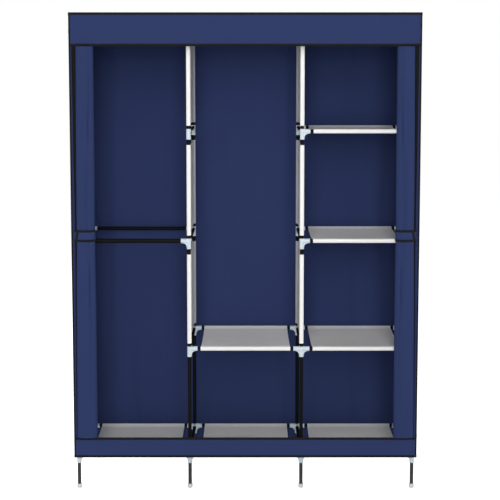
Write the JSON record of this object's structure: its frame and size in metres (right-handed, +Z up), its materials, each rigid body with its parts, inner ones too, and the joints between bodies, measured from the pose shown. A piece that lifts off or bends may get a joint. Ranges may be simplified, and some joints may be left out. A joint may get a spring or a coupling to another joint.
{
  "type": "portable fabric wardrobe",
  "caption": "Knock-down tube-frame wardrobe with cloth shelves and dividers, hanging bays, and a sewn cover whose front curtains are gathered to the sides with tie bands.",
  "frame": {"origin": "on the floor, under the middle of the cover's outline", "axes": "+Z up, -Y out of the open front, +X to the viewer's right"},
  "size_m": [1.26, 0.463, 1.75],
  "materials": {
    "frame_tube": "satin",
    "connector_plastic": "satin",
    "cap_plastic": "satin",
    "shelf_cloth": "matte",
    "cover_cloth": "matte",
    "binding_tape": "matte"
  },
  "bodies": {
    "wardrobe": {"left_side_front_post": "frame_tube", "left_side_back_post": "frame_tube", "left_divider_front_post": "frame_tube", "left_divider_back_post": "frame_tube", "right_divider_front_post": "frame_tube", "right_divider_back_post": "frame_tube", "right_side_front_post": "frame_tube", "right_side_back_post": "frame_tube", "base_front_rails": "frame_tube", "base_back_rails": "frame_tube", "base_left_side_rail": "frame_tube", "base_left_divider_rail": "frame_tube", "base_right_divider_rail": "frame_tube", "base_right_side_rail": "frame_tube", "low_front_rails": "frame_tube", "low_back_rails": "frame_tube", "low_left_divider_rail": "frame_tube", "low_right_divider_rail": "frame_tube", "low_right_side_rail": "frame_tube", "top_front_rails": "frame_tube", "top_back_rails": "frame_tube", "top_left_side_rail": "frame_tube", "top_left_divider_rail": "frame_tube", "top_right_divider_rail": "frame_tube", "top_right_side_rail": "frame_tube", "mid_left_side_rung": "frame_tube", "mid_left_divider_rung": "frame_tube", "mid_right_divider_rung": "frame_tube", "mid_right_side_rung": "frame_tube", "high_left_divider_rung": "frame_tube", "high_right_divider_rung": "frame_tube", "high_right_side_rung": "frame_tube", "left_hanging_rod_front": "frame_tube", "left_hanging_rod_back": "frame_tube", "mid_right_front_rail": "frame_tube", "mid_right_back_rail": "frame_tube", "high_right_front_rail": "frame_tube", "high_right_back_rail": "frame_tube", "base_left_shelf": "shelf_cloth", "base_centre_shelf": "shelf_cloth", "base_right_shelf": "shelf_cloth", "low_centre_shelf": "shelf_cloth", "low_right_shelf": "shelf_cloth", "mid_right_shelf": "shelf_cloth", "high_right_shelf": "shelf_cloth", "left_divider_panel_above_low": "shelf_cloth", "left_divider_panel_above_mid": "shelf_cloth", "left_divider_panel_above_high": "shelf_cloth", "right_divider_panel_above_low": "shelf_cloth", "right_divider_panel_above_mid": "shelf_cloth", "right_divider_panel_above_high": "shelf_cloth", "cover_hood": "cover_cloth", "cover_back": "cover_cloth", "cover_left_side": "cover_cloth", "cover_right_side": "cover_cloth", "cover_bottom_flap": "cover_cloth"},
    "left_curtain": {"left_curtain": "cover_cloth"},
    "right_curtain": {"right_curtain": "cover_cloth"},
    "left_tie": {"left_tie_band": "cover_cloth"},
    "right_tie": {"right_tie_band": "cover_cloth"}
  },
  "joints": [
    {"name": "left_curtain_swing", "type": "hinge", "parent": "wardrobe", "child": "left_curtain", "pos_m": [-0.6203, -0.2243, 0.9], "axis": [0, 0, -1], "range_deg": [0, 100]},
    {"name": "right_curtain_swing", "type": "hinge", "parent": "wardrobe", "child": "right_curtain", "pos_m": [0.6203, -0.2243, 0.9], "axis": [0, 0, 1], "range_deg": [0, 100]},
    {"name": "left_tie_open", "type": "hinge", "parent": "left_curtain", "child": "left_tie", "pos_m": [-0.54406, -0.216, 0.95], "axis": [0, 0, 1], "range_deg": [0, 120]},
    {"name": "right_tie_open", "type": "hinge", "parent": "right_curtain", "child": "right_tie", "pos_m": [0.54406, -0.216, 0.95], "axis": [0, 0, -1], "range_deg": [0, 120]}
  ]
}
